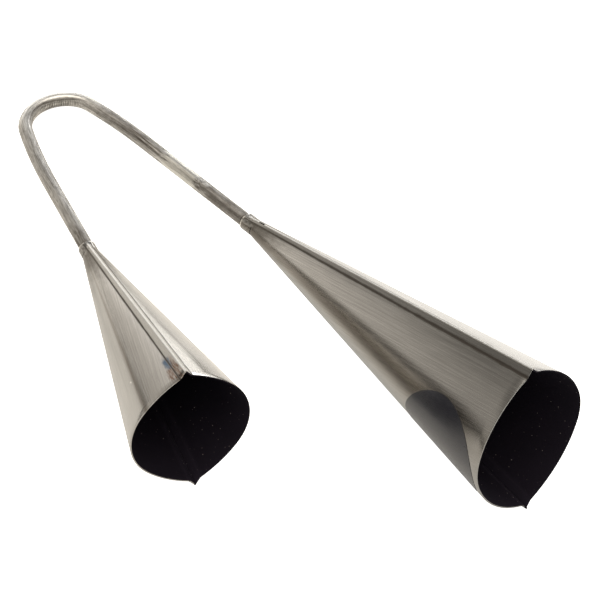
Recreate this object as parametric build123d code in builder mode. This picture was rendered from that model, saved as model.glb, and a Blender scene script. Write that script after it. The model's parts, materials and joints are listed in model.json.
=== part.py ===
"""Double agogo: two sheet-steel bells welded to the ends of one bent steel tube.

Lengths are in millimetres and angles in degrees. The instrument lies as it does on a table, on the
bend of its handle and on the lower crest of each bell's mouth. Z is up, and the mouths face -Y.
"""

import math
import os
from collections import namedtuple

from build123d import *

# Handle: one tube bent to a narrow U, whose legs spread towards the bells.
tube_diameter = 8.0
tube_wall = 1.0
bend_radius = 21.5
bend_end_lean = 15.7
shoulder_length = 46.0
leg_lean = 8.4
small_leg = 60.0
large_leg = 90.5
tube_insertion = 16.0

# Bells: two pressed sheet halves each, with lips that meet in a crest above and below.
sheet = 0.8
small_length = 148.0
small_side_radius = 32.6
small_side_angle = 40.0
small_crest = 41.8
large_length = 219.5
large_side_radius = 36.2
large_side_angle = 17.0
large_crest = 51.0
lip_half_width = 3.3
lip_drop = 4.0

# Necks: the sheet closes to a collar round the tube, and the bell's sides tuck in under it.
collar_clearance = 0.05
side_tuck = 1.25
crest_tuck = 0.45
neck_lip_half_width = 1.6
neck_lip_drop = 1.0
relief_slit_width = 0.5
relief_slit_height = 7.2

# Welds: a ground bead along each crest and a fillet where each collar meets the tube.
seam_weld_width = 1.2
seam_weld_crown = 0.2
neck_weld_leg = 0.75

# Label: a plain foil oval wrapped on the large bell, on the half that faces the small bell.
label_length = 60.0
label_width = 54.0
label_thickness = 0.15
label_mouth_gap = 2.5
label_turn = 14.6

# Values that follow from the sizes above.
tube_radius = tube_diameter / 2
shoulder_radius = shoulder_length / math.radians(bend_end_lean - leg_lean)
bore_radius = tube_radius + collar_clearance
collar_radius = bore_radius + sheet
bead_half_width = seam_weld_width / 2

# How one bell is described: its name, the side of the handle it is on, and its sizes.
Bell = namedtuple("Bell", "name side leg length side_radius side_angle crest")
small_bell = Bell("small_bell", -1, small_leg, small_length, small_side_radius, small_side_angle, small_crest)
large_bell = Bell("large_bell", 1, large_leg, large_length, large_side_radius, large_side_angle, large_crest)


def draw_leg(bell):
    """Draw half of the handle's centreline, from the top of the bend to the tube's end in a bell."""
    bend = JernArc((0, bend_radius), (bell.side, 0), bend_radius, -bell.side * (90 - bend_end_lean))
    shoulder = JernArc(bend @ 1, bend % 1, shoulder_radius, -bell.side * (bend_end_lean - leg_lean))
    return Line(shoulder @ 1, shoulder @ 1 + (shoulder % 1) * (bell.leg + tube_insertion))


def bell_plane(bell):
    """The plane at the rim of a bell's collar, in the handle's own frame: Y up, Z towards the mouth."""
    with BuildLine():
        leg = draw_leg(bell)
    along = leg % 1
    lean = math.radians(leg_lean)
    across = Vector(math.cos(lean), bell.side * math.sin(lean), 0)
    return Plane(leg @ 1 - along * tube_insertion, x_dir=across, z_dir=along)


# The floor under the instrument, found in the handle's own frame.
small_neck = bell_plane(small_bell)
large_neck = bell_plane(large_bell)
small_mouth = small_neck.offset(small_length)
large_mouth = large_neck.offset(large_length)
small_foot = small_mouth.from_local_coords((0, -small_crest, 0))
large_foot = large_mouth.from_local_coords((0, -large_crest, 0))


def floor_normal(bend_foot):
    """Upright of the floor that touches both bells' lower crests and a point under the bend."""
    return (small_foot - bend_foot).cross(large_foot - bend_foot).normalized()


upright = floor_normal(Vector(0, bend_radius, -tube_radius))
downhill = Vector(-upright.X, -upright.Y, 0).normalized()
bend_foot = downhill * bend_radius - upright * tube_radius
upright = floor_normal(bend_foot)
floor = Plane(bend_foot, x_dir=Vector(0, 1, 0).cross(upright), z_dir=upright)


def mouth_reach(bell, mouth, direction):
    """How far a bell's mouth reaches from its centre in a direction along the floor."""
    return bell.side_radius * math.hypot(direction.dot(mouth.x_dir), direction.dot(mouth.y_dir))


# The origin is on the floor, below the middle of the instrument's length and width.
small_centre = floor.to_local_coords(small_mouth.origin)
large_centre = floor.to_local_coords(large_mouth.origin)
bend_centre = floor.to_local_coords(Vector(0, 0, 0))
bend_reach = bend_radius * math.hypot(floor.y_dir.X, floor.y_dir.Y) + tube_radius
left = small_centre.X - mouth_reach(small_bell, small_mouth, floor.x_dir)
right = large_centre.X + mouth_reach(large_bell, large_mouth, floor.x_dir)
front = large_centre.Y - mouth_reach(large_bell, large_mouth, floor.y_dir)
back = bend_centre.Y + bend_reach
floor.origin = floor.from_local_coords(((left + right) / 2, (front + back) / 2, 0))
handle_plane = Plane(floor.location.inverse())


# One outline of a bell across its axis: its plane, then its sizes from the crest to the sides.
Section = namedtuple("Section", "plane crest lip_half lip_fall side_radius side_angle")


def bell_sections(bell, neck):
    """A bell's outlines under its collar and at its mouth."""
    neck_crest = collar_radius - crest_tuck
    neck_side = collar_radius - side_tuck
    mouth = neck.offset(bell.length)
    return [
        Section(neck, neck_crest, neck_lip_half_width, neck_lip_drop, neck_side, bell.side_angle),
        Section(mouth, bell.crest, lip_half_width, lip_drop, bell.side_radius, bell.side_angle),
    ]


def lip_line(section):
    """The fold under a lip, the edge of the weld bead on top of it, and the lip's outward normal."""
    fold = Vector(section.lip_half, section.crest - section.lip_fall)
    bead_edge = Vector(bead_half_width, section.crest - seam_weld_crown)
    lip = bead_edge - fold
    return fold, bead_edge, Vector(lip.Y, -lip.X).normalized()


def draw_side(section, inset):
    """Draw a quarter of a bell's side: the side arc, then a flank tangent to it that ends at the fold."""
    fold, _, lip_normal = lip_line(section)
    side_end = Vector(section.side_radius, 0).rotate(Axis.Z, section.side_angle)
    chord = fold - side_end
    flank_normal_angle = 2 * math.degrees(math.atan2(chord.Y, chord.X)) - 180 - section.side_angle
    flank_normal = Vector(1, 0).rotate(Axis.Z, flank_normal_angle)
    fold_inset = (flank_normal + lip_normal) * (inset / (1 + flank_normal.dot(lip_normal)))
    side = CenterArc((0, 0), section.side_radius - inset, 0, section.side_angle)
    return TangentArc(side @ 1, fold - fold_inset, tangent=side % 1)


def bell_outline(section, inset):
    """Outline of a bell across its axis, inset from the outside by a thickness of sheet.

    A quarter is drawn and mirrored twice. The outside ends in the crown of the weld, the inside in a point.
    """
    fold, bead_edge, lip_normal = lip_line(section)
    with BuildSketch(section.plane) as outline:
        with BuildLine():
            flank = draw_side(section, inset)
            if inset > 0:
                Line(flank @ 1, Vector(0, (fold.dot(lip_normal) - inset) / lip_normal.Y))
            else:
                Line(flank @ 1, bead_edge)
                crown_radius = (bead_half_width**2 + seam_weld_crown**2) / (2 * seam_weld_crown)
                crown_angle = math.degrees(math.asin(bead_half_width / crown_radius))
                CenterArc((0, section.crest - crown_radius), crown_radius, 90 - crown_angle, crown_angle)
            mirror(about=Plane.YZ)
            mirror(about=Plane.XZ)
        make_face()
    return outline.sketch


def foil_band(section):
    """Outline of one foil's thickness laid on a bell's side, from fold to fold."""
    with BuildSketch(section.plane) as band:
        with BuildLine():
            draw_side(section, 0)
            mirror(about=Plane.XZ)
            offset(amount=label_thickness, side=Side.RIGHT)
        make_face()
    return band.sketch


def side_slope(bell):
    """How fast a bell's sides widen along its axis."""
    return (bell.side_radius - collar_radius + side_tuck) / bell.length


def make_wall(bell, neck):
    """Make a bell's whole sheet wall with its collar, before it is parted at the seams.

    The sides come out of the collar where its relief slits are, one on each side of the bell.
    """
    slit_distance = side_tuck / side_slope(bell)
    collar_end = 2 * slit_distance
    with BuildPart() as wall:
        loft([bell_outline(section, 0) for section in bell_sections(bell, neck)], ruled=True)
        with BuildSketch(neck):
            Circle(collar_radius)
        extrude(amount=collar_end)
        inside = [bell_outline(section, sheet) for section in bell_sections(bell, neck)]
        loft(inside, ruled=True, mode=Mode.SUBTRACT)
        with BuildSketch(neck):
            Circle(bore_radius)
        extrude(amount=collar_end, mode=Mode.SUBTRACT)
        with BuildSketch(neck.offset(slit_distance)):
            Rectangle(4 * collar_radius, relief_slit_height)
        extrude(amount=relief_slit_width / 2, both=True, mode=Mode.SUBTRACT)
    return wall


def save(piece, name):
    """Label a finished piece and write it to its own file."""
    piece.part.label = name
    export_step(piece.part, f"parts/{name}.step")


os.makedirs("parts", exist_ok=True)

# Handle tube, swept along both legs and the bend.
with BuildPart() as handle_tube:
    with BuildLine(handle_plane) as centreline:
        draw_leg(small_bell)
        draw_leg(large_bell)
    handle_wire = centreline.wires()[0]
    with BuildSketch(Plane(handle_wire @ 0, z_dir=handle_wire % 0)):
        Circle(tube_radius)
        Circle(tube_radius - tube_wall, mode=Mode.SUBTRACT)
    sweep(path=handle_wire)
save(handle_tube, "handle_tube")

# Bells: each wall is parted into two half shells and the weld beads along its crests.
for bell, flat_neck in ((small_bell, small_neck), (large_bell, large_neck)):
    neck = Plane(handle_plane.location * flat_neck.location)
    seam = Plane(neck.origin, x_dir=neck.z_dir, z_dir=neck.x_dir)
    level = Plane(neck.origin, x_dir=neck.z_dir, z_dir=neck.y_dir)
    wall = make_wall(bell, neck)
    right_edge = seam.offset(bead_half_width)
    left_edge = seam.offset(-bead_half_width)

    with BuildPart() as right_shell:
        add(wall.part)
        split(bisect_by=right_edge, keep=Keep.TOP)
    with BuildPart() as left_shell:
        add(wall.part)
        split(bisect_by=left_edge, keep=Keep.BOTTOM)
    with BuildPart() as beads:
        add(wall.part)
        split(bisect_by=right_edge, keep=Keep.BOTTOM)
        split(bisect_by=left_edge, keep=Keep.TOP)
    with BuildPart() as top_bead:
        add(beads.part)
        split(bisect_by=level, keep=Keep.TOP)
    with BuildPart() as bottom_bead:
        add(beads.part)
        split(bisect_by=level, keep=Keep.BOTTOM)

    # Fillet weld round the tube, against the rim of the collar.
    with BuildPart() as neck_weld:
        with BuildSketch(Plane(neck.origin, x_dir=neck.x_dir, z_dir=-neck.y_dir)):
            with BuildLine():
                Line((tube_radius, 0), (tube_radius + neck_weld_leg, 0))
                RadiusArc((tube_radius + neck_weld_leg, 0), (tube_radius, -neck_weld_leg), 2 * neck_weld_leg)
                Line((tube_radius, -neck_weld_leg), (tube_radius, 0))
            make_face()
        revolve(axis=Axis(neck.origin, neck.z_dir))

    inner_shell, outer_shell = (right_shell, left_shell) if bell.side < 0 else (left_shell, right_shell)
    save(inner_shell, f"{bell.name}_inner_shell")
    save(outer_shell, f"{bell.name}_outer_shell")
    save(top_bead, f"{bell.name}_top_seam_weld")
    save(bottom_bead, f"{bell.name}_bottom_seam_weld")
    save(neck_weld, f"{bell.name}_neck_weld")

# Label: a band of foil on the side of the large bell that faces the small one, cut to an oval.
label_station = large_length - label_mouth_gap - label_length / 2
label_slope = side_slope(large_bell)
label_radius = collar_radius - side_tuck + label_slope * label_station
label_spot = Plane(
    Vector(label_radius, 0, label_station).rotate(Axis.Z, label_turn),
    x_dir=Vector(label_slope, 0, 1).rotate(Axis.Z, label_turn),
    z_dir=Vector(1, 0, -label_slope).rotate(Axis.Z, label_turn),
)
large_axis = Plane(handle_plane.location * large_neck.location)
label_neck = Plane(large_axis.origin, x_dir=-large_axis.x_dir, z_dir=large_axis.z_dir)
with BuildPart() as label:
    loft([foil_band(section) for section in bell_sections(large_bell, label_neck)], ruled=True)
    with BuildSketch(Plane(label_neck.location * label_spot.location)):
        with BuildLine():
            EllipticalCenterArc((0, 0), label_length / 2, label_width / 2, start_angle=0, arc_size=180)
            mirror(about=Plane.XZ)
        make_face()
    extrude(amount=label_radius, both=True, mode=Mode.INTERSECT)
save(label, "label")
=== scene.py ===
import json
import math
from collections import namedtuple

import bmesh
import bpy
from mathutils import Matrix, Vector, noise
from mathutils.bvhtree import BVHTree


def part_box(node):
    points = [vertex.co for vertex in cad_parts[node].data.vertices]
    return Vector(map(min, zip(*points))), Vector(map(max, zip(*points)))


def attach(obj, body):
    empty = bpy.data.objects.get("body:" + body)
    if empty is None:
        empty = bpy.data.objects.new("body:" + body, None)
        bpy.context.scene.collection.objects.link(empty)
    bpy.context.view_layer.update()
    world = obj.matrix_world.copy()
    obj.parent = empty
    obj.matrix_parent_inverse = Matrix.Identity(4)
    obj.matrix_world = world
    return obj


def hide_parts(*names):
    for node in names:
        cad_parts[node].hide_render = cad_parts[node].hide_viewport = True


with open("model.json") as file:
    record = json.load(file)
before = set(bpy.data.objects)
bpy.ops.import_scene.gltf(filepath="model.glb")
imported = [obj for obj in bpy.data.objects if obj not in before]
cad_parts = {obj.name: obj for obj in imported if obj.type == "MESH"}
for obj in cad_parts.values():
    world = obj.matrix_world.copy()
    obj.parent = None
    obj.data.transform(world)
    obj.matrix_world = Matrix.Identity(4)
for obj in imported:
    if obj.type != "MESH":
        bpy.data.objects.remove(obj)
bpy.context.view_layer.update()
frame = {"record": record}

# Handle
# One mild-steel tube of 8 mm, bent cold to a narrow U. The inside of the bend is crumpled into fine
# wrinkles. It is sanded and mottled along its length, and its ends are welded into the two bells.
mm = 0.001
tube_radius = 4.0 * mm
tube_wall = 1.0 * mm
tube_segments = 56
bend_radius = 21.5 * mm
bend_end_lean = math.radians(15.7)
leg_lean = math.radians(8.4)
shoulder_length = 46.0 * mm
shoulder_turn = bend_end_lean - leg_lean
shoulder_radius = shoulder_length / shoulder_turn
small_leg = 60.0 * mm
large_leg = 90.5 * mm
tube_insertion = 16.0 * mm
neck_weld_leg = 0.75 * mm
sharp_angle = math.radians(38)

mounts = {mount["name"]: mount for mount in frame["record"]["mounts"]}
small_axis = Vector(mounts["small_leg_clamp"]["axis"]).normalized()
large_axis = Vector(mounts["large_leg_clamp"]["axis"]).normalized()
up = small_axis.cross(large_axis).normalized()
back = -(small_axis + large_axis).normalized()
right = back.cross(up)


def collar_rim(bell, axis):
    """Where a bell's axis passes through the rim of its collar, half a weld leg past the weld's middle."""
    low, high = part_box(f"{bell}_bell_neck_weld")
    return (low + high) / 2 + axis * neck_weld_leg / 2


def axes_matrix(x, y, z, origin):
    """The matrix that places a piece built in its own axes."""
    return Matrix.Translation(origin) @ Matrix((x, y, z)).transposed().to_4x4()


def tilted(side, lean):
    """The direction to the right or left that leans back by an angle, in the handle's own plane."""
    return Vector((side * math.cos(lean), math.sin(lean), 0))


def shoulder_centre(side):
    """The centre of the shoulder, the wide bend between the narrow bend and a straight leg."""
    return tilted(side, bend_end_lean) * (bend_radius - shoulder_radius)


def leg_start(side):
    """Where the shoulder ends and the straight leg begins, in the handle's own plane."""
    return shoulder_centre(side) + tilted(side, leg_lean) * shoulder_radius


def leg_direction(side):
    """The direction of a straight leg towards its bell, in the handle's own plane."""
    return Vector((side * math.sin(leg_lean), -math.cos(leg_lean), 0))


large_rim_in_plane = leg_start(1) + leg_direction(1) * large_leg
handle_turn = axes_matrix(right, back, up, Vector())
handle_origin = collar_rim("large", large_axis) - handle_turn @ large_rim_in_plane
handle_place = axes_matrix(right, back, up, handle_origin)


def tube_place(point):
    """A point's distance along the tube from the top of the bend, and its offset from the centreline."""
    side = 1 if point.x > 0 else -1
    bend_length = bend_radius * (math.pi / 2 - bend_end_lean)
    turn = math.atan2(point.y, side * point.x)
    if turn >= bend_end_lean:
        along = bend_radius * (math.pi / 2 - turn)
        outward = math.hypot(point.x, point.y) - bend_radius
        return Vector((side * along, outward, point.z))
    away = point - shoulder_centre(side)
    turn = math.atan2(away.y, side * away.x)
    if turn >= leg_lean:
        along = bend_length + shoulder_radius * (bend_end_lean - turn)
        outward = math.hypot(away.x, away.y) - shoulder_radius
        return Vector((side * along, outward, point.z))
    past = point - leg_start(side)
    along = bend_length + shoulder_length + past.dot(leg_direction(side))
    return Vector((side * along, past.dot(tilted(side, leg_lean)), point.z))


def finish_piece(mesh, node, materials, matrix):
    """Turn a bmesh into a smooth piece that stands for its CAD node and rides with the instrument."""
    bmesh.ops.transform(mesh, matrix=matrix, verts=mesh.verts)
    data = bpy.data.meshes.new(f"{node}_piece")
    mesh.to_mesh(data)
    mesh.free()
    data.shade_smooth()
    data.set_sharp_from_angle(angle=sharp_angle)
    for material in materials:
        data.materials.append(material)
    piece = bpy.data.objects.new(f"{node}_piece", data)
    bpy.context.scene.collection.objects.link(piece)
    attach(piece, "root")
    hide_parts(node)


def set_or_link(tree, socket, value):
    """Give a node's input a value, or link another node's output to it."""
    if isinstance(value, bpy.types.NodeSocket):
        tree.links.new(value, socket)
    else:
        socket.default_value = value


def set_inputs(tree, node, **inputs):
    """Set or link a node's inputs, named as in the editor, with underscores for spaces."""
    for name, value in inputs.items():
        set_or_link(tree, node.inputs[name.replace("_", " ")], value)


def add_node(tree, kind, settings=None, **inputs):
    """Add a node with its settings and inputs."""
    node = tree.nodes.new(kind)
    for name, value in (settings or {}).items():
        setattr(node, name, value)
    set_inputs(tree, node, **inputs)
    return node


def calculate(tree, operation, *values):
    """A Math node's result."""
    node = add_node(tree, "ShaderNodeMath", {"operation": operation})
    for socket, value in zip(node.inputs, values):
        set_or_link(tree, socket, value)
    return node.outputs[0]


def times(tree, first, second):
    """The product of two values."""
    return calculate(tree, "MULTIPLY", first, second)


def blend_colours(tree, factor, first, second, mode="MIX"):
    """The colour of a Mix node."""
    node = add_node(tree, "ShaderNodeMix", {"data_type": "RGBA", "blend_type": mode})
    set_or_link(tree, node.inputs[0], factor)
    set_or_link(tree, node.inputs[6], first)
    set_or_link(tree, node.inputs[7], second)
    return node.outputs[2]


def rescale(tree, value, low, high, new_low=0.0, new_high=1.0, smooth=False):
    """A value moved from one range to another, held at the new range's ends."""
    settings = {"interpolation_type": "SMOOTHSTEP" if smooth else "LINEAR", "clamp": True}
    node = add_node(
        tree, "ShaderNodeMapRange", settings, Value=value, From_Min=low, From_Max=high,
        To_Min=new_low, To_Max=new_high)
    return node.outputs[0]


def vary(tree, mask, low, high):
    """A value that goes from low to high as a mask goes from zero to one."""
    return rescale(tree, mask, 0.0, 1.0, low, high)


def band(tree, value, start, end, soft):
    """A mask that is one between two values and fades out over a soft edge at each."""
    rise = rescale(tree, value, start - soft, start + soft, 0.0, 1.0, smooth=True)
    fall = rescale(tree, value, end - soft, end + soft, 1.0, 0.0, smooth=True)
    return times(tree, rise, fall)


def strongest(tree, *masks):
    """The strongest of several masks, each given with its strength."""
    result = 0.0
    for mask, strength in masks:
        result = calculate(tree, "MAXIMUM", result, times(tree, mask, strength))
    return result


def stretched_noise(tree, place, stretch, detail, roughness):
    """Noise on a place that is stretched by its own factor in each direction."""
    scaled = add_node(tree, "ShaderNodeVectorMath", {"operation": "MULTIPLY"})
    set_or_link(tree, scaled.inputs[0], place)
    set_or_link(tree, scaled.inputs[1], stretch)
    texture = add_node(
        tree, "ShaderNodeTexNoise", Vector=scaled.outputs[0], Scale=1.0, Detail=detail, Roughness=roughness)
    return texture.outputs["Fac"]


def new_material(name):
    """A material with its Principled shader, and nothing else on it yet."""
    material = bpy.data.materials.new(name)
    material.use_nodes = True
    tree = material.node_tree
    return material, tree, tree.nodes["Principled BSDF"]


def mesh_attribute(tree, name, output="Vector"):
    """A place, or with the output Fac a value, that was written to a piece's mesh when it was made."""
    return add_node(tree, "ShaderNodeAttribute", {"attribute_name": name}).outputs[output]


def bumped(tree, height, strength, distance):
    """The normal of a Bump node."""
    return add_node(tree, "ShaderNodeBump", Strength=strength, Distance=distance, Height=height).outputs[0]


def brushed_group():
    """Grain of brushed or sanded steel: lines along the place's second direction, and cloudy patches."""
    tree = bpy.data.node_groups.new("brushed_grain", "ShaderNodeTree")
    tree.interface.new_socket("Place", in_out="INPUT", socket_type="NodeSocketVector")
    for name in ("Lines", "Scratches", "Patches"):
        tree.interface.new_socket(name, in_out="OUTPUT", socket_type="NodeSocketFloat")
    place = tree.nodes.new("NodeGroupInput").outputs["Place"]
    broad = stretched_noise(tree, place, (1500, 14, 1500), 4.0, 0.6)
    fine = stretched_noise(tree, place, (4600, 70, 4600), 2.0, 0.5)
    lines = calculate(tree, "ADD", times(tree, broad, 0.65), times(tree, fine, 0.35))
    scratch = stretched_noise(tree, place, (1300, 16, 1300), 1.0, 0.4)
    set_inputs(
        tree, tree.nodes.new("NodeGroupOutput"),
        Lines=rescale(tree, lines, 0.25, 0.75),
        Scratches=rescale(tree, scratch, 0.68, 0.78),
        Patches=stretched_noise(tree, place, (45, 22, 45), 3.0, 0.6))
    return tree


brushed_grain = brushed_group()


def add_grain(tree, place, turn):
    """Turn the brushed grain, place it in a material and return its three outputs."""
    turned = add_node(
        tree, "ShaderNodeVectorRotate", {"rotation_type": "Z_AXIS"}, Vector=place, Angle=turn).outputs[0]
    node = add_node(tree, "ShaderNodeGroup", {"node_tree": brushed_grain}, Place=turned)
    return node.outputs["Lines"], node.outputs["Scratches"], node.outputs["Patches"]


def handle_steel():
    """Sanded tube: light and smooth round the bend, dark streaks below it, dark at both necks."""
    material, tree, shader = new_material("handle_steel")
    place = mesh_attribute(tree, "tube_place")
    spot = add_node(tree, "ShaderNodeSeparateXYZ", Vector=place)
    along, outward, rise = spot.outputs["X"], spot.outputs["Y"], spot.outputs["Z"]
    lines = add_grain(tree, place, math.pi / 2)[0]
    streaks = rescale(tree, stretched_noise(tree, place, (38, 900, 900), 5.0, 0.65), 0.40, 0.60)
    blotches = rescale(tree, stretched_noise(tree, place, (120, 420, 420), 4.0, 0.65), 0.35, 0.65)
    rings = rescale(tree, stretched_noise(tree, place, (2400, 500, 500), 3.0, 0.6), 0.35, 0.65)
    grit = rescale(tree, stretched_noise(tree, place, (260, 1900, 1900), 3.0, 0.65), 0.48, 0.66)
    uneven = calculate(tree, "ADD", along, vary(tree, blotches, -6 * mm, 6 * mm))

    # Burnt streaks below the bend with a darker core, sanding across the tube towards the large neck,
    # painted shade in the crease and wrinkles of the bend, and a thin ring of painted shadow on the tube
    # where it enters each collar.
    streak_ends = calculate(tree, "ADD", uneven, vary(tree, streaks, 8 * mm, -8 * mm))
    streaked = band(tree, streak_ends, 34 * mm, 88 * mm, 4 * mm)
    core_length = band(tree, streak_ends, 56 * mm, 82 * mm, 7 * mm)
    core = times(tree, core_length, band(tree, outward, -3.6 * mm, -0.2 * mm, 0.8 * mm))
    lower_length = band(tree, uneven, 127 * mm, 175 * mm, 4 * mm)
    lower = times(tree, lower_length, vary(tree, blotches, 0.7, 1.0))
    small_neck = rescale(tree, uneven, -104 * mm, -128 * mm, smooth=True)
    small_streaks = band(tree, along, -140 * mm, -26 * mm, 8 * mm)
    dark = strongest(
        tree,
        (streaked, vary(tree, streaks, 0.18, 0.85)),
        (core, vary(tree, streaks, 0.3, 1.0)),
        (lower, vary(tree, rings, 0.72, 0.95)),
        # Painted shade in the crease and the wrinkles of the bend.
        (mesh_attribute(tree, "crease_shade", "Fac"), 0.9),
        (small_neck, vary(tree, streaks, 0.45, 0.9)),
        (small_streaks, vary(tree, streaks, 0.15, 0.55)),
        (streaks, 0.14),
        (grit, 0.38),
        # Painted shadow: a thin dark ring on the tube at the rim of each collar.
        (band(tree, along, 162.7 * mm, 175 * mm, 0.7 * mm), 0.95),
        (band(tree, along, -145 * mm, -132.2 * mm, 0.7 * mm), 0.95),
    )

    # Under the dark marks the tube is sanded lengthwise, with two cleaner patches and one rough spot.
    fine = rescale(tree, lines, 0.3, 0.7)
    mottle = rescale(tree, stretched_noise(tree, place, (330, 900, 900), 3.0, 0.7), 0.42, 0.58)
    sanded = rescale(tree, stretched_noise(tree, place, (36, 850, 850), 4.0, 0.7), 0.42, 0.58)
    worn = calculate(tree, "ADD", times(tree, sanded, 0.72), times(tree, mottle, 0.28))
    colour = blend_colours(tree, worn, (0.29, 0.280, 0.262, 1), (0.87, 0.855, 0.82, 1))
    outer_side = rescale(tree, outward, -1 * mm, 1 * mm)
    clean_bend = times(tree, band(tree, along, 25 * mm, 33 * mm, 2 * mm), outer_side)
    clean = strongest(tree, (band(tree, along, 95 * mm, 122 * mm, 2 * mm), 0.55), (clean_bend, 0.9))
    colour = blend_colours(tree, clean, colour, (0.70, 0.69, 0.63, 1))
    browned = blend_colours(tree, blotches, (0.062, 0.052, 0.043, 1), (0.135, 0.120, 0.104, 1))
    colour = blend_colours(tree, dark, colour, browned)
    rough_length = band(tree, along, 122 * mm, 128 * mm, 1 * mm)
    rough_spot = times(tree, rough_length, band(tree, rise, 1.2 * mm, 6 * mm, 0.6 * mm))
    squiggle = stretched_noise(tree, place, (900, 900, 900), 3.0, 0.6)
    squiggle_mask = times(tree, rough_spot, rescale(tree, squiggle, 0.46, 0.54, 0.0, 0.8))
    colour = blend_colours(tree, squiggle_mask, colour, (0.10, 0.09, 0.08, 1))
    roughness = vary(tree, dark, vary(tree, fine, 0.30, 0.44), 0.55)
    height = calculate(tree, "ADD", fine, times(tree, squiggle_mask, 3.0))
    normal = bumped(tree, height, 0.2, 0.2 * mm)
    set_inputs(tree, shader, Base_Color=colour, Metallic=1.0, Roughness=roughness, Normal=normal)
    return material


def extrude_ring(mesh, ring, direction, length, steps):
    """Extrude a tube's open end along a straight stretch."""
    for _ in range(steps):
        grown = bmesh.ops.extrude_edge_only(mesh, edges=ring)["geom"]
        ring = [part for part in grown if isinstance(part, bmesh.types.BMEdge)]
        ring_verts = [part for part in grown if isinstance(part, bmesh.types.BMVert)]
        bmesh.ops.translate(mesh, vec=direction * (length / steps), verts=ring_verts)
    return ring


def bend_ring(mesh, ring, centre, angle, steps):
    """Spin a tube's open end round the centre of a bend, clockwise as seen from above."""
    ring_geometry = ring + list({vert for edge in ring for vert in edge.verts})
    spun = bmesh.ops.spin(mesh, geom=ring_geometry, cent=centre, axis=(0, 0, 1), angle=-angle, steps=steps)
    return [part for part in spun["geom_last"] if isinstance(part, bmesh.types.BMEdge)]


def make_handle():
    """The bent tube, made from end to end, with the wrinkles pressed into the inside of its bend."""
    mesh = bmesh.new()
    small_end = leg_start(-1) + leg_direction(-1) * (small_leg + tube_insertion)
    facing = leg_direction(-1).to_track_quat("Z", "Y").to_matrix().to_4x4()
    end_place = Matrix.Translation(small_end) @ facing
    bmesh.ops.create_circle(mesh, segments=tube_segments, radius=tube_radius, matrix=end_place)
    ring = extrude_ring(mesh, mesh.edges[:], -leg_direction(-1), small_leg + tube_insertion, steps=40)
    ring = bend_ring(mesh, ring, shoulder_centre(-1), shoulder_turn, steps=24)
    ring = bend_ring(mesh, ring, Vector(), math.pi - 2 * bend_end_lean, steps=300)
    ring = bend_ring(mesh, ring, shoulder_centre(1), shoulder_turn, steps=24)
    extrude_ring(mesh, ring, leg_direction(1), large_leg + tube_insertion, steps=60)
    bmesh.ops.recalc_face_normals(mesh, faces=mesh.faces)

    # A crease runs along the upper inside of the bend. Below it the wall is flattened and crumpled into
    # wrinkles that lie across the tube and fade out towards the ends of the bend.
    place_layer = mesh.verts.layers.float_vector.new("tube_place")
    crease_shade_layer = mesh.verts.layers.float.new("crease_shade")
    crease_turn = math.radians(137)
    crease_half_turn = math.radians(11)
    crease_depth = 0.38 * mm
    crease_wander = math.radians(7)
    wander_length = 6 * mm
    flat_middle = math.radians(182)
    flat_half_turn = math.radians(42)
    flat_depth = 0.30 * mm
    wrinkle_pitch = 1.25 * mm
    wrinkle_depth = 0.26 * mm
    bend_middle = 3 * mm
    bend_reach = 27 * mm
    for vert in mesh.verts:
        place = tube_place(vert.co)
        vert[place_layer] = place
        fade = math.sqrt(max(0.0, 1 - ((place.x - bend_middle) / bend_reach) ** 2))
        turn = math.atan2(place.z, place.y) % (2 * math.pi)
        wander = crease_wander * math.sin(place.x / wander_length)
        crease = math.exp(-(((turn - crease_turn - wander) / crease_half_turn) ** 2))
        flat = math.exp(-(((turn - flat_middle) / flat_half_turn) ** 4))
        uneven = 0.8 + 0.7 * noise.noise(Vector((place.x / (4 * mm), place.z / (3 * mm), 0)))
        wave = math.sin(2 * math.pi * place.x / wrinkle_pitch + 1.8 * noise.noise(place / (2.5 * mm)))
        inward = crease_depth * crease + flat_depth * flat - wrinkle_depth * flat * uneven * wave
        vert.co -= vert.normal * (inward * fade)
        # Painted shade: the crease and the troughs of the wrinkles are written darker for the steel.
        vert[crease_shade_layer] = fade * max(0.9 * crease, flat * (0.25 + 0.75 * max(0.0, -wave)))
    bmesh.ops.recalc_face_normals(mesh, faces=mesh.faces)
    bmesh.ops.solidify(mesh, geom=mesh.faces[:], thickness=tube_wall)
    return mesh


finish_piece(make_handle(), "handle_tube", [handle_steel()], handle_place)

# Bell shells
# Each bell is two halves pressed from 0.8 mm steel sheet, brushed outside and painted matte black inside.
# Their folded lips meet in a crest above and below, and their necks close to a collar round the tube.
sheet = 0.8 * mm
collar_radius = tube_radius + 0.05 * mm + sheet
bead_half_width = 0.6 * mm
bead_crown = 0.2 * mm
slit_width = 0.5 * mm
slit_height = 7.2 * mm
fold_angle = math.radians(16)
fold_bevel = 0.35 * mm
rim_depth = 0.3 * mm
rim_angle = math.radians(50)
rim_bevel = 0.14 * mm
same_place = 0.001 * mm
cut_tolerance = 0.002 * mm

Outline = namedtuple("Outline", "crest lip_half lip_drop side_radius")
Bell = namedtuple("Bell", "name axis length side_angle neck mouth")
small_bell = Bell(
    "small", small_axis, 148.0 * mm, math.radians(40.0),
    Outline(collar_radius - 0.45 * mm, 1.6 * mm, 1.0 * mm, collar_radius - 1.25 * mm),
    Outline(41.8 * mm, 3.3 * mm, 4.0 * mm, 32.6 * mm),
)
large_bell = Bell(
    "large", large_axis, 219.5 * mm, math.radians(17.0),
    small_bell.neck,
    Outline(51.0 * mm, 3.3 * mm, 4.0 * mm, 36.2 * mm),
)


def bell_place(bell):
    """The matrix that places a bell: X to the right, Y up, Z from the rim of the collar to the mouth."""
    return axes_matrix(up.cross(bell.axis), up, bell.axis, collar_rim(bell.name, bell.axis))


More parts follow.
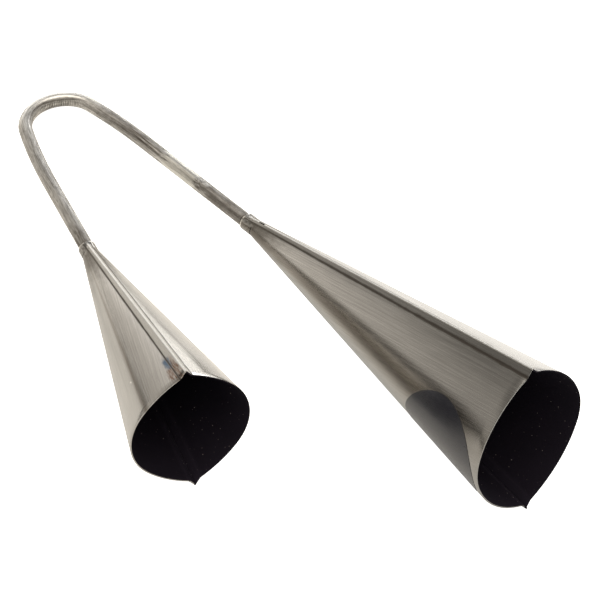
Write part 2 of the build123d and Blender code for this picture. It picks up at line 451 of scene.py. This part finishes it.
def widening(bell):
    """How much the radius of a bell's side grows along its length."""
    return (bell.mouth.side_radius - bell.neck.side_radius) / bell.length


def slit_distance(bell):
    """How far from the collar's rim the sides come out of the collar, where the relief slits are."""
    return (collar_radius - bell.neck.side_radius) / widening(bell)


def spin_vertex(mesh, vert, centre, angle, steps):
    """Spin a vertex into an arc of edges and return its last vertex."""
    spun = bmesh.ops.spin(mesh, geom=[vert], cent=centre, axis=(0, 0, 1), angle=angle, steps=steps)
    return [part for part in spun["geom_last"] if isinstance(part, bmesh.types.BMVert)][0]


def at_level(part, distance):
    """Whether a vertex, or every vertex of an edge, is at a distance along the bell's axis."""
    verts = [part] if isinstance(part, bmesh.types.BMVert) else part.verts
    return all(abs(vert.co.z - distance) < same_place for vert in verts)


def half_outline(mesh, bell, outline, distance):
    """Chain of edges over a bell's right half: side arc, tangent flank, and lip up to the weld bead."""
    level = Vector((0, 0, distance))
    fold = level + Vector((outline.lip_half, outline.crest - outline.lip_drop, 0))
    bead_edge = level + Vector((bead_half_width, outline.crest - bead_crown, 0))
    radial = Vector((math.cos(bell.side_angle), math.sin(bell.side_angle), 0))
    side_end = level + radial * outline.side_radius
    from_fold = side_end - fold
    flank_radius = from_fold.length_squared / (2 * from_fold.dot(radial))
    flank_centre = side_end - radial * flank_radius
    middle = mesh.verts.new(level + Vector((outline.side_radius, 0, 0)))
    last = spin_vertex(mesh, middle, level, bell.side_angle, steps=10)
    last = spin_vertex(mesh, last, flank_centre, (fold - flank_centre).angle(radial), steps=20)
    lip_steps = 3
    for _ in range(lip_steps):
        tip = mesh.verts.new(last.co + (bead_edge - fold) / lip_steps)
        mesh.edges.new((last, tip))
        last = tip
    chain = [part for part in mesh.verts[:] + mesh.edges[:] if at_level(part, distance)]
    bmesh.ops.mirror(mesh, geom=chain, axis="Y", merge_dist=same_place)


def measure_sheet(mesh, place_layer, crest_layer, distance):
    """Write each vertex's way round the sheet from the upper crest, and its way to the nearer crest."""
    outline = [vert for vert in mesh.verts if at_level(vert, distance)]
    outline.sort(key=lambda vert: -math.atan2(vert.co.y, vert.co.x))
    from_crest = 0.0
    for before, vert in zip([outline[0]] + outline, outline):
        from_crest += (vert.co - before.co).length
        vert[place_layer] = Vector((from_crest, distance, 0))
    for vert in outline:
        vert[crest_layer] = min(vert[place_layer].x, from_crest - vert[place_layer].x)


def cut_rows(mesh, bell, more_rows=()):
    """Cut rows across a ruled sheet: close together in the collar, wide apart along the bell."""
    slit = slit_distance(bell)
    collar_rows = 26
    past_slit = 1.12
    bell_rows = 40
    first_bell_row = 3
    rows = [slit * past_slit * row / collar_rows for row in range(1, collar_rows)]
    rows += [bell.length * row / bell_rows for row in range(first_bell_row, bell_rows)]
    rows += [slit - slit_width / 2, slit + slit_width / 2, *more_rows]
    for row in rows:
        everything = mesh.verts[:] + mesh.edges[:] + mesh.faces[:]
        bmesh.ops.bisect_plane(
            mesh, geom=everything, plane_co=(0, 0, row), plane_no=(0, 0, 1), dist=cut_tolerance)


def push_out_collar(mesh):
    """Push what lies inside the collar out to it, so that the sides come out of the collar as they widen."""
    for vert in mesh.verts:
        radius = vert.co.xy.length
        if radius < collar_radius:
            vert.co.x *= collar_radius / radius
            vert.co.y *= collar_radius / radius


def cut_slit(mesh, bell):
    """Cut the relief slit across the side, where the collar ends."""
    slit = slit_distance(bell)
    for edge_height in (-slit_height / 2, slit_height / 2):
        strip = [face for face in mesh.faces if abs(face.calc_center_median().z - slit) < slit_width / 2]
        strip_parts = strip + list({edge for face in strip for edge in face.edges})
        strip_parts += list({vert for face in strip for vert in face.verts})
        bmesh.ops.bisect_plane(
            mesh, geom=strip_parts, plane_co=(0, edge_height, 0), plane_no=(0, 1, 0), dist=cut_tolerance)
    opening = [
        face for face in mesh.faces
        if abs(face.calc_center_median().z - slit) < slit_width / 2
        and abs(face.calc_center_median().y) < slit_height / 2
    ]
    bmesh.ops.delete(mesh, geom=opening, context="FACES")


def make_sheet(bell, side):
    """One half of a bell as a sheet without thickness: the outside, facing outwards."""
    mesh = bmesh.new()
    place_layer = mesh.verts.layers.float_vector.new("sheet_place")
    crest_layer = mesh.verts.layers.float.new("crest_distance")
    for outline, distance in ((bell.neck, 0.0), (bell.mouth, bell.length)):
        half_outline(mesh, bell, outline, distance)
        measure_sheet(mesh, place_layer, crest_layer, distance)
    bmesh.ops.bridge_loops(mesh, edges=mesh.edges[:])
    cut_rows(mesh, bell)
    push_out_collar(mesh)
    folds = [
        edge for edge in mesh.edges
        if len(edge.link_faces) == 2 and edge.calc_face_angle() > fold_angle
        and abs(edge.verts[0].co.z - edge.verts[1].co.z) > 0.1 * mm
    ]
    bmesh.ops.bevel(
        mesh, geom=folds, offset=fold_bevel, offset_type="OFFSET", affect="EDGES", segments=3,
        profile=0.5, material=-1, clamp_overlap=True)
    cut_slit(mesh, bell)
    bmesh.ops.scale(mesh, vec=(side, 1, 1), verts=mesh.verts)
    bmesh.ops.recalc_face_normals(mesh, faces=mesh.faces)
    widest = max(mesh.faces, key=lambda face: abs(face.calc_center_median().x))
    if widest.normal.x * side < 0:
        bmesh.ops.reverse_faces(mesh, faces=mesh.faces)
    return mesh


def paint_inside(mesh):
    """Give the faces that look towards the bell's axis the second material, the paint."""
    for face in mesh.faces:
        outward = face.calc_center_median().xy.normalized()
        face.material_index = 1 if face.normal.xy.dot(outward) < -0.4 else 0


def make_shell(bell, side, painted_rim):
    """One half of a bell with the thickness of the sheet, a softened rim, and the paint on its inside."""
    mesh = make_sheet(bell, side)
    bmesh.ops.solidify(mesh, geom=mesh.faces[:], thickness=sheet)
    rim_level = bell.length - rim_depth
    rim_faces = [
        face for face in mesh.faces
        if face.normal.z > 0.9 and face.calc_center_median().z > rim_level
    ]
    rim_edges = {edge for face in rim_faces for edge in face.edges if edge.calc_face_angle(0.0) > rim_angle}
    bmesh.ops.bevel(
        mesh, geom=list(rim_edges), offset=rim_bevel, offset_type="OFFSET", affect="EDGES", segments=2,
        profile=0.5, material=-1, clamp_overlap=True)
    paint_inside(mesh)
    for face in mesh.faces:
        if painted_rim and face.normal.z > 0.5 and face.calc_center_median().z > rim_level:
            face.material_index = 1
    return mesh


def tint_spot(tree, place, centre, reach, ragged):
    """A mask for an oval spot on the sheet with a ragged edge, its centre and reach in millimetres."""
    squares = []
    for axis in (0, 1):
        offset = calculate(tree, "SUBTRACT", place.outputs[axis], centre[axis] * mm)
        squares.append(calculate(tree, "POWER", calculate(tree, "DIVIDE", offset, reach[axis] * mm), 2.0))
    away = calculate(tree, "SQRT", calculate(tree, "ADD", *squares))
    return rescale(tree, calculate(tree, "ADD", away, ragged), 0.45, 1.15, 1.0, 0.0, smooth=True)


def shade_colour(tree, colour, value):
    """A colour made darker or lighter by a value."""
    grey = add_node(tree, "ShaderNodeCombineColor", Red=value, Green=value, Blue=value).outputs[0]
    return blend_colours(tree, 1.0, colour, grey, "MULTIPLY")


def bell_steel(name, bell, grain, finish):
    """Brushed sheet steel with painted light and shade from neck to mouth, painted shade in the folds, and a
    burnt neck.
    """
    material, tree, shader = new_material(name)
    length = bell.length
    place = mesh_attribute(tree, "sheet_place")
    spot = add_node(tree, "ShaderNodeSeparateXYZ", Vector=place)
    across, along = spot.outputs["X"], spot.outputs["Y"]
    lines, scratches, patches = add_grain(tree, place, grain.turn)
    fine = rescale(tree, lines, 0.30, 0.70)
    line_shade = vary(tree, fine, 0.5 - grain.contrast / 2, 0.5 + grain.contrast / 2)
    shade = calculate(tree, "ADD", times(tree, line_shade, 0.7), times(tree, patches, 0.3))
    colour = blend_colours(tree, shade, (0.30, 0.291, 0.278, 1), (0.70, 0.688, 0.665, 1))
    scratched = times(tree, scratches, 0.4 * grain.contrast)
    colour = blend_colours(tree, scratched, colour, (0.78, 0.765, 0.74, 1))

    # The way round from the upper crest is a part of the way to the side's middle. Painted light and shade:
    # each half's flank is painted a tone that changes from the neck to the mouth, and below the flank the
    # side is painted darker near the neck.
    neck_half_way = bell.neck.crest * 1.24
    mouth_half_way = bell.mouth.crest * 1.27
    half_way = rescale(tree, along, 0.0, length, neck_half_way, mouth_half_way)
    part_way = calculate(tree, "DIVIDE", across, half_way)
    neck_shade = rescale(tree, part_way, 0.50, 0.70, finish.neck_shade, 0.72)
    painted_tone = rescale(tree, along, 0.2 * length, 0.9 * length, neck_shade, finish.mouth_shade)
    colour = shade_colour(tree, colour, painted_tone)

    # A painted reflection: a soft brown band along the side, between the flank and the side's middle, stands
    # in for the dark reflection there. It is weaker towards the neck and fades out at the mouth.
    neck_band = 0.7 * finish.side_band
    mouth_band = 0.3 * finish.side_band
    strength = rescale(tree, along, 0.2 * length, 0.5 * length, neck_band, finish.side_band)
    strength = rescale(tree, along, 0.86 * length, 0.97 * length, strength, mouth_band)
    band_top = rescale(tree, part_way, 0.50, 0.66, smooth=True)
    band_bottom = rescale(tree, part_way, 0.77, 1.03, strength, 0.0, smooth=True)
    side_band = times(tree, band_top, band_bottom)
    colour = blend_colours(tree, side_band, colour, (0.54, 0.487, 0.418, 1), "MULTIPLY")

    # Painted shade darkens the two folds, whose way from the crest grows with the lips from the neck to the
    # mouth.
    crest = mesh_attribute(tree, "crest_distance", "Fac")
    neck_lip, mouth_lip = [
        math.hypot(outline.lip_half - bead_half_width, outline.lip_drop - bead_crown)
        for outline in (bell.neck, bell.mouth)
    ]
    from_fold = calculate(tree, "SUBTRACT", crest, rescale(tree, along, 0.0, length, neck_lip, mouth_lip))
    cloud = stretched_noise(tree, place, (160, 90, 160), 4.0, 0.6)
    fold_growth = rescale(tree, along, 0.0, length, 0.7, grain.fold_growth)
    fold_reach = times(tree, rescale(tree, cloud, 0.3, 0.7, 0.8 * mm, 1.7 * mm), fold_growth)
    # Painted light and shade: the lips take each half's own tone, lighter than the flank on some halves and
    # darker on others.
    lip_shade = rescale(tree, along, 0.03 * length, 0.10 * length, 1.0, finish.lip_shade)
    on_lip = rescale(tree, from_fold, -0.6 * mm, 0.2 * mm, lip_shade, 1.0, smooth=True)
    colour = shade_colour(tree, colour, on_lip)
    fold_part = calculate(tree, "DIVIDE", calculate(tree, "ABSOLUTE", from_fold), fold_reach)
    fold_shade = rescale(tree, fold_part, 0.15, 1.0, 0.93, 0.0, smooth=True)
    colour = blend_colours(tree, fold_shade, colour, (0.06, 0.052, 0.044, 1))

    # The welding at the neck leaves the sides of the collar dull and brown. Its cut rim is bare and bright.
    ragged = rescale(tree, cloud, 0.3, 0.7, -8 * mm, 8 * mm)
    ragged_along = calculate(tree, "ADD", along, ragged)
    burn_end = rescale(tree, ragged_along, 10 * mm, 44 * mm, 0.85, 0.0, smooth=True)
    neck_burn = times(tree, burn_end, rescale(tree, along, 3 * mm, 11 * mm, 0.35, 1.0, smooth=True))
    off_crest = rescale(tree, crest, 0.6 * mm, 1.8 * mm, smooth=True)
    colour = blend_colours(tree, times(tree, neck_burn, off_crest), colour, (0.135, 0.122, 0.105, 1))
    pitted = rescale(tree, stretched_noise(tree, place, (750, 450, 750), 3.0, 0.6), 0.47, 0.58)
    collar_dirt = times(tree, pitted, rescale(tree, along, 9 * mm, 14 * mm, 0.6, 0.0, smooth=True))
    colour = blend_colours(tree, collar_dirt, colour, (0.10, 0.088, 0.075, 1))
    bare_rim = rescale(tree, along, 0.5 * mm, 1.0 * mm, 0.9, 0.0)
    colour = blend_colours(tree, bare_rim, colour, (0.72, 0.70, 0.66, 1))
    jagged = rescale(tree, cloud, 0.3, 0.7, -0.4, 0.4)
    # Painted shadow: a near-black spot on the lip beside the upper bead stands in for the shade in a gap of
    # the weld.
    if finish.marks == "painted gap shadow":
        gap = tint_spot(tree, spot, (0.3, 13.3), (0.9, 2.7), jagged)
        colour = blend_colours(tree, gap, colour, (0.008, 0.006, 0.005, 1))

    # The heat of the seam's end has tinted the mouth's corner brown and blue. A thin scuff runs along the
    # flank and is darkened further as a painted reflection, and a nick shines on the side.
    if finish.marks == "heat tint":
        blue = tint_spot(tree, spot, (5.2, 130.5), (2.6, 5.5), jagged)
        brown = tint_spot(tree, spot, (4.2, 143.0), (4.6, 8.0), jagged)
        brown_lip = tint_spot(tree, spot, (2.2, 139.0), (2.4, 9.0), jagged)
        nick = tint_spot(tree, spot, (26.3, 121.5), (0.5, 0.9), jagged)
        off_fold = calculate(tree, "SUBTRACT", 1.0, fold_shade)
        streaky = stretched_noise(tree, place, (1500, 170, 1500), 3.0, 0.6)
        streaks = rescale(tree, streaky, 0.42, 0.58, 0.3, 0.95)
        browned = times(tree, streaks, calculate(tree, "MAXIMUM", brown, brown_lip))
        colour = blend_colours(tree, times(tree, browned, off_fold), colour, (0.115, 0.045, 0.014, 1))
        blued = times(tree, times(tree, blue, off_fold), 0.85)
        colour = blend_colours(tree, blued, colour, (0.028, 0.078, 0.145, 1))
        # A scuff that is also a painted reflection: a thin dark streak along the flank, stronger towards the
        # mouth.
        scuff_and_reflection_growth = rescale(tree, along, 0.1 * length, 0.7 * length, 0.4, 1.0)
        scuff_shade = times(tree, scuff_and_reflection_growth, vary(tree, fine, 0.55, 0.95))
        scuff_and_reflection = times(tree, band(tree, part_way, 0.50, 0.56, 0.03), scuff_shade)
        colour = blend_colours(tree, scuff_and_reflection, colour, (0.38, 0.34, 0.30, 1), "MULTIPLY")
        colour = blend_colours(tree, nick, colour, (0.9, 0.88, 0.85, 1))
    brushed = vary(tree, fine, grain.smoothest, grain.smoothest + 0.08)
    roughness = vary(tree, fold_shade, brushed, 0.45)
    normal = bumped(tree, fine, 0.06 * grain.contrast, 0.1 * mm)
    set_inputs(tree, shader, Base_Color=colour, Metallic=1.0, Roughness=roughness, Normal=normal)
    return material


def inside_paint():
    """Matte black paint with light specks of dust and bare metal, and lighter along the seams, partly dust
    and partly painted light that lifts the shade in the seams' channels.
    """
    material, tree, shader = new_material("inside_paint")
    place = add_node(tree, "ShaderNodeTexCoord").outputs["Object"]
    specks = add_node(tree, "ShaderNodeTexVoronoi", {"feature": "F1"}, Vector=place, Scale=640.0)
    draw = add_node(tree, "ShaderNodeSeparateColor", Color=specks.outputs["Color"])
    small = rescale(tree, specks.outputs["Distance"], 0.10, 0.22, 1.0, 0.0)
    cloud = stretched_noise(tree, place, (70, 70, 70), 4.0, 0.6)
    few = calculate(tree, "GREATER_THAN", draw.outputs[0], rescale(tree, cloud, 0.4, 0.65, 0.86, 0.45))
    bright = times(tree, few, vary(tree, calculate(tree, "POWER", draw.outputs[1], 4.0), 0.03, 0.5))
    black = blend_colours(tree, cloud, (0.0085, 0.0068, 0.0112, 1), (0.0135, 0.011, 0.0175, 1))
    crest = mesh_attribute(tree, "crest_distance", "Fac")
    # Dust and painted light: the paint is lighter near the crests, where the seams' channels lie in shade.
    dust_and_painted_light = rescale(tree, crest, 3 * mm, 7 * mm, 0.5, 0.0, smooth=True)
    black = blend_colours(tree, dust_and_painted_light, black, (0.028, 0.0235, 0.036, 1))
    colour = blend_colours(tree, times(tree, small, bright), black, (0.48, 0.44, 0.42, 1))
    roughness = rescale(tree, cloud, 0.3, 0.7, 0.85, 1.0)
    grit = stretched_noise(tree, place, (2600, 2600, 2600), 2.0, 0.5)
    normal = bumped(tree, grit, 0.4, 0.2 * mm)
    set_inputs(
        tree, shader, Base_Color=colour, Roughness=roughness, Normal=normal, Specular_IOR_Level=0.06)
    return material


black_paint = inside_paint()
Finish = namedtuple("Finish", "side neck_shade mouth_shade lip_shade side_band painted_rim marks")
# Each half has its own copy of the steel with its own painted light and shade: its tone from neck to mouth,
# the tone of its lips and its painted reflection band.
half_finishes = {
    "small_bell_inner_shell": Finish(1, 1.0, 1.35, 0.95, 0.0, True, "none"),
    "small_bell_outer_shell": Finish(-1, 1.05, 0.85, 0.92, 0.0, False, "heat tint"),
    "large_bell_inner_shell": Finish(-1, 1.2, 0.6, 0.48, 0.86, False, "none"),
    "large_bell_outer_shell": Finish(1, 1.0, 1.0, 1.45, 0.0, True, "painted gap shadow"),
}
Grain = namedtuple("Grain", "turn smoothest contrast fold_growth")
grains = {"small": Grain(math.radians(12), 0.15, 0.38, 0.7), "large": Grain(0.0, 0.18, 0.52, 1.4)}
for bell in (small_bell, large_bell):
    for half in ("inner", "outer"):
        node = f"{bell.name}_bell_{half}_shell"
        finish = half_finishes[node]
        steel = bell_steel(f"{node}_steel", bell, grains[bell.name], finish)
        shell = make_shell(bell, finish.side, finish.painted_rim)
        finish_piece(shell, node, [steel, black_paint], bell_place(bell))

# Seam welds
# The two halves of a bell are welded along both crests, and the beads are ground flush with the lips.
# The grinding leaves them brighter than the sheet, with a slightly uneven crown.
bead_thickness = 1.0 * mm
crown_ripple = 0.08 * mm
ripple_length = 7 * mm
pit_start = 11.0 * mm
pit_end = 15.6 * mm
pit_wall = 0.5 * mm
pit_margin = 0.2 * mm
pit_depth = 0.6 * mm
nub_lengths = {"small": 0.28 * mm, "large": 0.7 * mm}
nub_reach = 1.0 * mm


def bead_outline(mesh, outline, distance, upright):
    """Arc of edges over the crown of a weld bead."""
    crown_radius = (bead_half_width**2 + bead_crown**2) / (2 * bead_crown)
    crown_angle = math.asin(bead_half_width / crown_radius)
    centre = Vector((0, upright * (outline.crest - crown_radius), distance))
    start = mesh.verts.new((bead_half_width, upright * (outline.crest - bead_crown), distance))
    spin_vertex(mesh, start, centre, upright * 2 * crown_angle, steps=8)


def make_bead(bell, upright):
    """The weld bead along one crest of a bell, from the collar to the mouth."""
    mesh = bmesh.new()
    layer = mesh.verts.layers.float_vector.new("sheet_place")
    for outline, distance in ((bell.neck, 0.0), (bell.mouth, bell.length)):
        bead_outline(mesh, outline, distance, upright)
        for vert in mesh.verts:
            if at_level(vert, distance):
                vert[layer] = Vector((vert.co.x, distance, 0))
    bmesh.ops.bridge_loops(mesh, edges=mesh.edges[:])
    cut_rows(mesh, bell, [pit_start, pit_start + pit_wall, pit_end - pit_wall, pit_end])
    push_out_collar(mesh)

    # The large bell's upper bead has a pit near the collar, painted near-black as the shade inside it. The
    # lower beads end in a burnt nub.
    burn_and_pit_shade_layer = mesh.verts.layers.float.new("burn")
    for vert in mesh.verts:
        vert.co.y += upright * crown_ripple * noise.noise(Vector((0, vert.co.z / ripple_length, upright)))
        in_pit = pit_start + pit_margin < vert.co.z < pit_end - pit_margin and vert.co.x > -pit_margin
        if bell.name == "large" and upright > 0 and in_pit:
            vert.co.y -= pit_depth
            vert[burn_and_pit_shade_layer] = 1.0
        if upright < 0 and vert.co.z > bell.length - nub_reach:
            vert.co.z += nub_lengths[bell.name]
            vert[burn_and_pit_shade_layer] = 0.75
    bmesh.ops.recalc_face_normals(mesh, faces=mesh.faces)
    if sum(face.normal.y for face in mesh.faces) * upright < 0:
        bmesh.ops.reverse_faces(mesh, faces=mesh.faces)
    bmesh.ops.solidify(mesh, geom=mesh.faces[:], thickness=bead_thickness)
    paint_inside(mesh)
    return mesh


def weld_steel():
    """Bare ground steel, brighter than the sheet, with slanting marks of the grinder, dark burns and painted
    shade in the pit.
    """
    material, tree, shader = new_material("weld_steel")
    lines = add_grain(tree, mesh_attribute(tree, "sheet_place"), math.radians(60))[0]
    colour = blend_colours(tree, lines, (0.35, 0.337, 0.315, 1), (0.57, 0.556, 0.525, 1))
    # Dark burns on the nubs, and painted shade in the pit.
    burn = mesh_attribute(tree, "burn", "Fac")
    colour = blend_colours(tree, burn, colour, (0.012, 0.007, 0.005, 1))
    roughness = vary(tree, lines, 0.28, 0.40)
    normal = bumped(tree, lines, 0.06, 0.1 * mm)
    set_inputs(tree, shader, Base_Color=colour, Metallic=1.0, Roughness=roughness, Normal=normal)
    return material


ground_steel = weld_steel()
for bell in (small_bell, large_bell):
    for seam, upright in (("top", 1), ("bottom", -1)):
        bead = make_bead(bell, upright)
        node = f"{bell.name}_bell_{seam}_seam_weld"
        finish_piece(bead, node, [ground_steel, black_paint], bell_place(bell))

# Neck welds
# A small fillet weld runs round the tube against the rim of each collar. It is left as welded, with
# the ripples of the bead and a dull brown-grey tint.
weld_ripples = 26
weld_ripple_height = 0.012


def make_neck_weld():
    """A ring of fillet weld: its triangular outline spun round the tube, with ripples along it."""
    mesh = bmesh.new()
    layer = mesh.verts.layers.float_vector.new("sheet_place")
    corners = [(tube_radius, 0), (tube_radius + neck_weld_leg, 0), (tube_radius, -neck_weld_leg)]
    verts = [mesh.verts.new((radius, 0, distance)) for radius, distance in corners]
    mesh.faces.new(verts)
    hollow = [edge for edge in mesh.edges if verts[0] not in edge.verts]
    bmesh.ops.subdivide_edges(mesh, edges=hollow, cuts=4)
    outline = mesh.edges[:] + mesh.verts[:]
    bmesh.ops.delete(mesh, geom=mesh.faces[:], context="FACES_ONLY")
    bmesh.ops.spin(
        mesh, geom=outline, cent=(0, 0, 0), axis=(0, 0, 1), angle=2 * math.pi, steps=120, use_merge=True)
    bmesh.ops.recalc_face_normals(mesh, faces=mesh.faces)
    for vert in mesh.verts:
        turn = math.atan2(vert.co.y, vert.co.x)
        vert[layer] = Vector((vert.co.z, turn * tube_radius, 0))
        outside = (vert.co.xy.length - tube_radius) / neck_weld_leg
        if 0.05 < outside < 0.95:
            vert.co.xy *= 1 + weld_ripple_height * math.sin(weld_ripples * turn)
    return mesh


def burnt_steel():
    """Dull brown-grey scale on the weld, left as it was."""
    material, tree, shader = new_material("burnt_steel")
    scale = stretched_noise(tree, mesh_attribute(tree, "sheet_place"), (1500, 700, 1500), 4.0, 0.6)
    mottle = rescale(tree, scale, 0.35, 0.65)
    colour = blend_colours(tree, mottle, (0.11, 0.095, 0.08, 1), (0.30, 0.28, 0.25, 1))
    roughness = rescale(tree, scale, 0.3, 0.7, 0.4, 0.6)
    set_inputs(tree, shader, Base_Color=colour, Metallic=1.0, Roughness=roughness)
    return material


neck_steel = burnt_steel()
for bell in (small_bell, large_bell):
    node = f"{bell.name}_bell_neck_weld"
    finish_piece(make_neck_weld(), node, [neck_steel], bell_place(bell))

# Label
# A round label wraps the inner side of the large bell, close to its mouth. It is cut from thin foil in
# plain satin charcoal and stuck to the brushed sheet.
label_length = 60.0 * mm
label_width = 54.0 * mm
label_thickness = 0.15 * mm
label_mouth_gap = 2.5 * mm
label_turn = math.radians(14.6)
label_segments = 120
label_rings = 24
drop_height = 20 * mm


def make_label(bell):
    """A flat oval dropped on the bell's sheet, lifted off it by the foil's thickness and made solid."""
    mesh = bmesh.new()
    bmesh.ops.create_circle(mesh, segments=label_segments, radius=1.0, cap_ends=True)
    for _ in range(label_rings - 1):
        middle = max(mesh.faces, key=lambda face: len(face.verts))
        bmesh.ops.inset_region(mesh, faces=[middle], thickness=1.0 / label_rings, use_boundary=True)
    middle = max(mesh.faces, key=lambda face: len(face.verts))
    bmesh.ops.poke(mesh, faces=[middle])
    bmesh.ops.scale(mesh, vec=(label_length / 2, label_width / 2, 1), verts=mesh.verts)

    # The oval's own axes: X towards the mouth and Z away from the sheet.
    slope = widening(bell)
    station = bell.length - label_mouth_gap - label_length / 2
    around = Matrix.Rotation(math.pi + label_turn, 4, "Z")
    spot = around @ Vector((bell.neck.side_radius + slope * station, 0, station))
    towards_mouth = (around @ Vector((slope, 0, 1))).normalized()
    outwards = (around @ Vector((1, 0, -slope))).normalized()
    place = axes_matrix(towards_mouth, outwards.cross(towards_mouth), outwards, spot)
    sheet_tree = BVHTree.FromBMesh(make_sheet(bell, -1))
    layer = mesh.verts.layers.float_vector.new("label_place")
    for vert in mesh.verts:
        vert[layer] = vert.co.copy()
        start = place @ (vert.co + Vector((0, 0, drop_height)))
        hit, normal = sheet_tree.ray_cast(start, -outwards)[:2]
        vert.co = hit + normal * label_thickness
    bmesh.ops.recalc_face_normals(mesh, faces=mesh.faces)
    if mesh.faces[0].normal.dot(outwards) < 0:
        bmesh.ops.reverse_faces(mesh, faces=mesh.faces)
    bmesh.ops.solidify(mesh, geom=mesh.faces[:], thickness=label_thickness)
    return mesh


def label_foil():
    """Satin charcoal foil with faint handling marks."""
    material, tree, shader = new_material("label_foil")
    cloud = stretched_noise(tree, mesh_attribute(tree, "label_place"), (90, 90, 90), 4.0, 0.6)
    colour = blend_colours(tree, cloud, (0.010, 0.0105, 0.0155, 1), (0.015, 0.0155, 0.0225, 1))
    roughness = rescale(tree, cloud, 0.3, 0.7, 0.24, 0.28)
    set_inputs(tree, shader, Base_Color=colour, Roughness=roughness, Specular_IOR_Level=0.58)
    return material


finish_piece(make_label(large_bell), "label", [label_foil()], bell_place(large_bell))

# Studio
# The instrument lies on a plain white table that the camera sees evenly white. A long soft window stands
# behind it on the right, a large soft panel hangs overhead, and the wall on the left is dim and warm.
table_radius = 0.42
table_drop = 0.2 * mm
floor_mesh = bmesh.new()
bmesh.ops.create_circle(floor_mesh, segments=96, radius=table_radius, cap_ends=True)
floor_data = bpy.data.meshes.new("floor")
floor_mesh.to_mesh(floor_data)
floor_mesh.free()
floor = bpy.data.objects.new("floor", floor_data)
bpy.context.scene.collection.objects.link(floor)
floor.location.z = -table_drop

# The table is painted darker on its far left as painted shade, glows a little on the right, and is clear
# from below.
floor_white, floor_tree, floor_shader = new_material("floor_white")
floor_place = add_node(floor_tree, "ShaderNodeTexCoord").outputs["Object"]
floor_cloud = stretched_noise(floor_tree, floor_place, (6, 6, 6), 2.0, 0.5)
floor_across = add_node(floor_tree, "ShaderNodeSeparateXYZ", Vector=floor_place).outputs["X"]
floor_lit = rescale(floor_tree, floor_across, -0.36, -0.31, smooth=True)
floor_right = rescale(floor_tree, floor_across, 0.0, 0.06)
floor_colour = blend_colours(floor_tree, floor_cloud, (0.82, 0.812, 0.79, 1), (0.86, 0.852, 0.83, 1))
floor_colour = blend_colours(floor_tree, floor_right, floor_colour, (0.82, 0.83, 0.83, 1))
# Painted shade: the dark brown of the table's far left, seen in the metal's reflections.
floor_colour = blend_colours(floor_tree, floor_lit, (0.17, 0.145, 0.115, 1), floor_colour)
floor_seen = add_node(floor_tree, "ShaderNodeLightPath").outputs["Is Camera Ray"]
floor_left = times(floor_tree, floor_lit, 0.12)
floor_pool = rescale(floor_tree, floor_across, 0.02, 0.25, floor_left, 0.50, smooth=True)
set_inputs(
    floor_tree, floor_shader, Base_Color=floor_colour, Roughness=0.9, Specular_IOR_Level=0.0,
    Emission_Color=(1, 1, 1, 1), Emission_Strength=vary(floor_tree, floor_seen, floor_pool, 1.0))
floor_below = add_node(floor_tree, "ShaderNodeNewGeometry").outputs["Backfacing"]
floor_clear = add_node(floor_tree, "ShaderNodeBsdfTransparent").outputs[0]
floor_side = add_node(floor_tree, "ShaderNodeMixShader")
for socket, source in zip(floor_side.inputs, (floor_below, floor_shader.outputs[0], floor_clear)):
    floor_tree.links.new(source, socket)
floor_tree.links.new(floor_side.outputs[0], floor_tree.nodes["Material Output"].inputs["Surface"])
floor_data.materials.append(floor_white)

# The light comes from the world alone: the window, the wall, the panel and a dark gap at the table's edge.
world = bpy.data.worlds.new("studio")
bpy.context.scene.world = world
world.use_nodes = True
world_tree = world.node_tree
direction = add_node(world_tree, "ShaderNodeTexCoord").outputs["Generated"]
height = add_node(world_tree, "ShaderNodeSeparateXYZ", Vector=direction).outputs["Z"]
window_dot = add_node(world_tree, "ShaderNodeVectorMath", {"operation": "DOT_PRODUCT"})
set_or_link(world_tree, window_dot.inputs[0], direction)
set_or_link(world_tree, window_dot.inputs[1], (0.866, 0.5, 0.0))
toward_window = window_dot.outputs["Value"]
window = rescale(world_tree, toward_window, 0.15, 0.80, smooth=True)
window_light = rescale(world_tree, height, 0.0, 0.40, 3.6, 0.25, smooth=True)
wall_light = rescale(world_tree, height, 0.28, 0.60, 0.70, 0.30, smooth=True)
side_light = vary(world_tree, window, wall_light, window_light)
dome = rescale(world_tree, height, 0.75, 0.88, side_light, 2.6, smooth=True)
gap_left = rescale(world_tree, toward_window, -0.2, 0.2, 0.01, -0.03)
gap_height = rescale(world_tree, toward_window, 0.3, 0.6, gap_left, 0.0)
lowered = calculate(world_tree, "SUBTRACT", height, gap_height)
above_gap = rescale(world_tree, lowered, -0.085, -0.05, 0.03, dome, smooth=True)
tint = blend_colours(world_tree, window, (1.0, 0.93, 0.83, 1), (1.0, 0.99, 0.975, 1))
seen = add_node(world_tree, "ShaderNodeLightPath").outputs["Is Camera Ray"]
set_inputs(
    world_tree, world_tree.nodes["Background"], Color=blend_colours(world_tree, seen, tint, (1, 1, 1, 1)),
    Strength=vary(world_tree, seen, above_gap, 1.0))
bpy.context.scene.view_settings.view_transform = "Standard"

# Camera
# A long lens at the photograph's viewing angle, high up in front of the mouths, on the small bell's side.
camera_position = Vector((-0.4503, -0.7486, 1.1167))
camera_target = Vector((0.0220, -0.0384, 0.0400))
camera_roll = math.radians(1.413)
camera_data = bpy.data.cameras.new("camera")
camera_data.sensor_width = 36.0
camera_data.lens = 157.49
camera = bpy.data.objects.new("camera", camera_data)
bpy.context.scene.collection.objects.link(camera)
looking = (camera_target - camera_position).to_track_quat("-Z", "Y").to_matrix().to_4x4()
camera.matrix_world = Matrix.Translation(camera_position) @ looking @ Matrix.Rotation(camera_roll, 4, "Z")
bpy.context.scene.camera = camera

bpy.context.view_layer.update()
